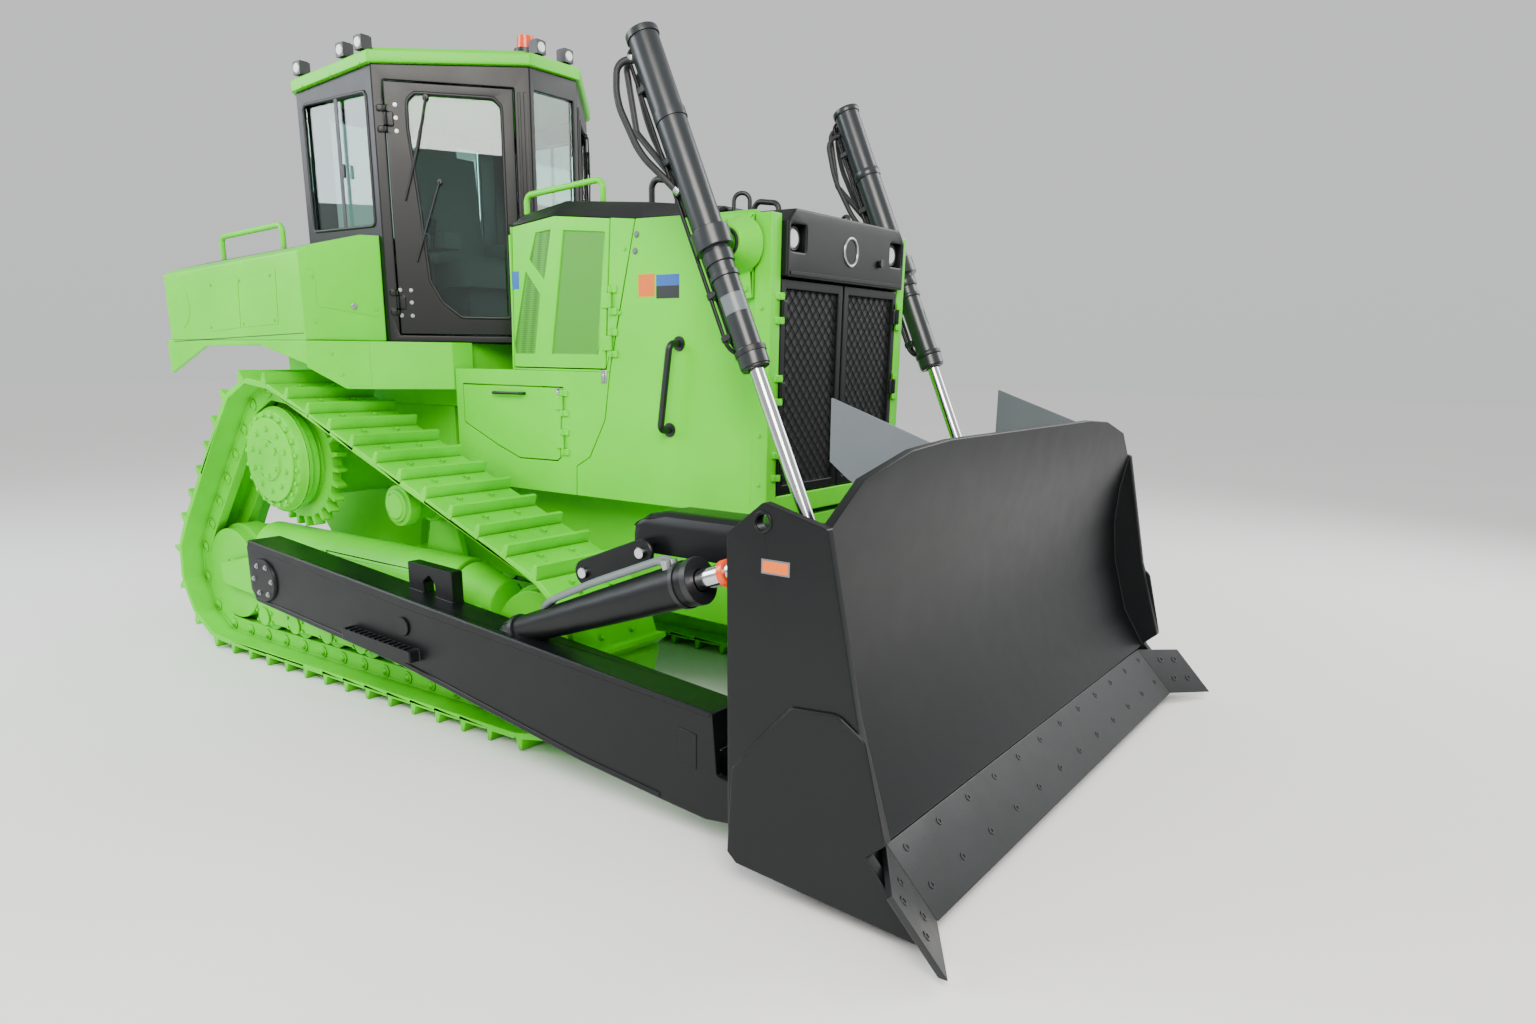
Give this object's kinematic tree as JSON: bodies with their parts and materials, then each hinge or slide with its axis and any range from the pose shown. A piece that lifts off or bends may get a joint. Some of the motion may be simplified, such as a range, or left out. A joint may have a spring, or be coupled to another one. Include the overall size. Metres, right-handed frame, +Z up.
{
  "type": "crawler bulldozer",
  "caption": "Green high-drive crawler bulldozer with a charcoal semi-curved blade that lifts and tilts on two push arms, a six-sided cab with two doors and hinged engine panels.",
  "frame": {"origin": "on the ground under the middle of the bounding box, on the machine's plane of symmetry", "axes": "+X forward to the blade, +Y to the machine's left, +Z up"},
  "size_m": [5.8682, 3.626, 3.5775],
  "materials": {
    "green_paint": "satin",
    "track_green": "satin",
    "charcoal_paint": "satin",
    "cab_paint": "satin",
    "chrome_rod": "polished",
    "grey_plate": "brushed",
    "edge_steel": "satin",
    "clear_glass": "clear",
    "black_hose": "matte",
    "seat_cloth": "matte",
    "console_plastic": "matte",
    "lamp_plastic": "gloss",
    "beacon_amber": "gloss",
    "engine_iron": "rough",
    "core_aluminium": "matte",
    "bearing_steel": "satin"
  },
  "bodies": {
    "machine": {"tracks": "track_green", "track_wheels": "track_green", "final_drives": "track_green", "track_frames": "track_green", "main_frame": "green_paint", "engine_block": "engine_iron", "radiator_core": "core_aluminium", "drawbar": "green_paint", "engine_sides": "green_paint", "hood_cover": "charcoal_paint", "radiator_guard": "green_paint", "front_cowl": "charcoal_paint", "headlamps": "lamp_plastic", "yoke_housings": "green_paint", "cab_shell": "cab_paint", "cab_roof": "green_paint", "cab_windows": "clear_glass", "seat": "seat_cloth", "console": "console_plastic", "tanks": "green_paint", "fenders": "green_paint", "green_rails": "green_paint", "black_rails": "charcoal_paint", "roof_lamps": "lamp_plastic", "beacon": "beacon_amber"},
    "trunnion_carrier": {"trunnion_balls": "bearing_steel"},
    "blade_body": {"blade": "charcoal_paint", "brace_covers": "charcoal_paint", "cutting_edges": "edge_steel", "guard_wings": "grey_plate"},
    "arm_right": {"push_arm_right": "charcoal_paint"},
    "tilt_rod_right": {"tilt_rod_right": "chrome_rod"},
    "lift_barrel_right": {"lift_barrel_right": "charcoal_paint", "lift_hose_right": "black_hose"},
    "lift_rod_right": {"lift_rod_right": "chrome_rod"},
    "cab_door_right_body": {"cab_door_right": "cab_paint", "door_glass_right": "clear_glass"},
    "vent_door_right_body": {"vent_door_right": "green_paint"},
    "tool_door_right_body": {"tool_door_right": "green_paint"},
    "grille_door_right_body": {"grille_door_right": "charcoal_paint"},
    "arm_left": {"push_arm_left": "charcoal_paint"},
    "tilt_rod_left": {"tilt_rod_left": "chrome_rod"},
    "lift_barrel_left": {"lift_barrel_left": "charcoal_paint", "lift_hose_left": "black_hose"},
    "lift_rod_left": {"lift_rod_left": "chrome_rod"},
    "cab_door_left_body": {"cab_door_left": "cab_paint", "door_glass_left": "clear_glass"},
    "vent_door_left_body": {"vent_door_left": "green_paint"},
    "tool_door_left_body": {"tool_door_left": "green_paint"},
    "grille_door_left_body": {"grille_door_left": "charcoal_paint"}
  },
  "joints": [
    {"name": "blade_lift", "type": "hinge", "parent": "machine", "child": "trunnion_carrier", "pos_m": [-1.4, 0, 0.66], "axis": [0, 1, 0], "range_deg": [-18, 5]},
    {"name": "blade_tilt", "type": "hinge", "parent": "trunnion_carrier", "child": "blade_body", "pos_m": [1.89, 0, 0.225], "axis": [1, 0, 0], "range_deg": [-2.5, 2.5]},
    {"name": "arm_tilt_right", "type": "hinge", "parent": "trunnion_carrier", "child": "arm_right", "pos_m": [-1.4, -1.405, 0.66], "axis": [0, 1, 0], "range_deg": [-1.09, 1.09]},
    {"name": "tilt_rod_slide_right", "type": "slide", "parent": "arm_right", "child": "tilt_rod_right", "axis": [0.9393, 0, 0.3431], "range_m": [-0.00898, 0.00898]},
    {"name": "lift_barrel_swing_right", "type": "hinge", "parent": "machine", "child": "lift_barrel_right", "pos_m": [1.244, -0.845, 2.372], "axis": [0, 1, 0], "range_deg": [-16.88, 5.05]},
    {"name": "lift_rod_slide_right", "type": "slide", "parent": "lift_barrel_right", "child": "lift_rod_right", "axis": [0.4177, 0, -0.9086], "range_m": [-0.9965, 0.284]},
    {"name": "cab_door_swing_right", "type": "hinge", "parent": "machine", "child": "cab_door_right_body", "pos_m": [-1.00424, -0.7727, 2.6], "axis": [0, 0, -1], "range_deg": [0, 95]},
    {"name": "vent_door_swing_right", "type": "hinge", "parent": "machine", "child": "vent_door_right_body", "pos_m": [0.448, -0.619, 2.18], "axis": [0, 0, 1], "range_deg": [0, 100]},
    {"name": "tool_door_swing_right", "type": "hinge", "parent": "machine", "child": "tool_door_right_body", "pos_m": [0.094, -0.619, 1.56], "axis": [0, 0, 1], "range_deg": [0, 100]},
    {"name": "grille_door_swing_right", "type": "hinge", "parent": "machine", "child": "grille_door_right_body", "pos_m": [1.406, -0.542, 1.76], "axis": [0, 0, -1], "range_deg": [0, 100]},
    {"name": "arm_tilt_left", "type": "hinge", "parent": "trunnion_carrier", "child": "arm_left", "pos_m": [-1.4, 1.405, 0.66], "axis": [0, -1, 0], "range_deg": [-1.09, 1.09]},
    {"name": "tilt_rod_slide_left", "type": "slide", "parent": "arm_left", "child": "tilt_rod_left", "axis": [0.9393, 0, 0.3431], "range_m": [-0.00936, 0.00936]},
    {"name": "lift_barrel_swing_left", "type": "hinge", "parent": "machine", "child": "lift_barrel_left", "pos_m": [1.244, 0.845, 2.372], "axis": [0, 1, 0], "range_deg": [-16.88, 5.05]},
    {"name": "lift_rod_slide_left", "type": "slide", "parent": "lift_barrel_left", "child": "lift_rod_left", "axis": [0.4177, 0, -0.9086], "range_m": [-0.9965, 0.284]},
    {"name": "cab_door_swing_left", "type": "hinge", "parent": "machine", "child": "cab_door_left_body", "pos_m": [-1.00424, 0.7727, 2.6], "axis": [0, 0, 1], "range_deg": [0, 95]},
    {"name": "vent_door_swing_left", "type": "hinge", "parent": "machine", "child": "vent_door_left_body", "pos_m": [0.448, 0.619, 2.18], "axis": [0, 0, -1], "range_deg": [0, 100]},
    {"name": "tool_door_swing_left", "type": "hinge", "parent": "machine", "child": "tool_door_left_body", "pos_m": [0.094, 0.619, 1.56], "axis": [0, 0, -1], "range_deg": [0, 100]},
    {"name": "grille_door_swing_left", "type": "hinge", "parent": "machine", "child": "grille_door_left_body", "pos_m": [1.406, 0.542, 1.76], "axis": [0, 0, 1], "range_deg": [0, 100]}
  ],
  "couplings": [
    {"joint": "arm_tilt_right", "follows": "blade_tilt", "ratio": 0.42705},
    {"joint": "tilt_rod_slide_right", "follows": "blade_tilt", "m_per_rad": -0.19603},
    {"joint": "lift_barrel_swing_right", "follows": "blade_lift", "ratio": 0.91},
    {"joint": "lift_rod_slide_right", "follows": "blade_lift", "m_per_rad": 3.14},
    {"joint": "arm_tilt_left", "follows": "blade_tilt", "ratio": 0.42705},
    {"joint": "tilt_rod_slide_left", "follows": "blade_tilt", "m_per_rad": 0.20427},
    {"joint": "lift_barrel_swing_left", "follows": "blade_lift", "ratio": 0.91},
    {"joint": "lift_rod_slide_left", "follows": "blade_lift", "m_per_rad": 3.14}
  ]
}
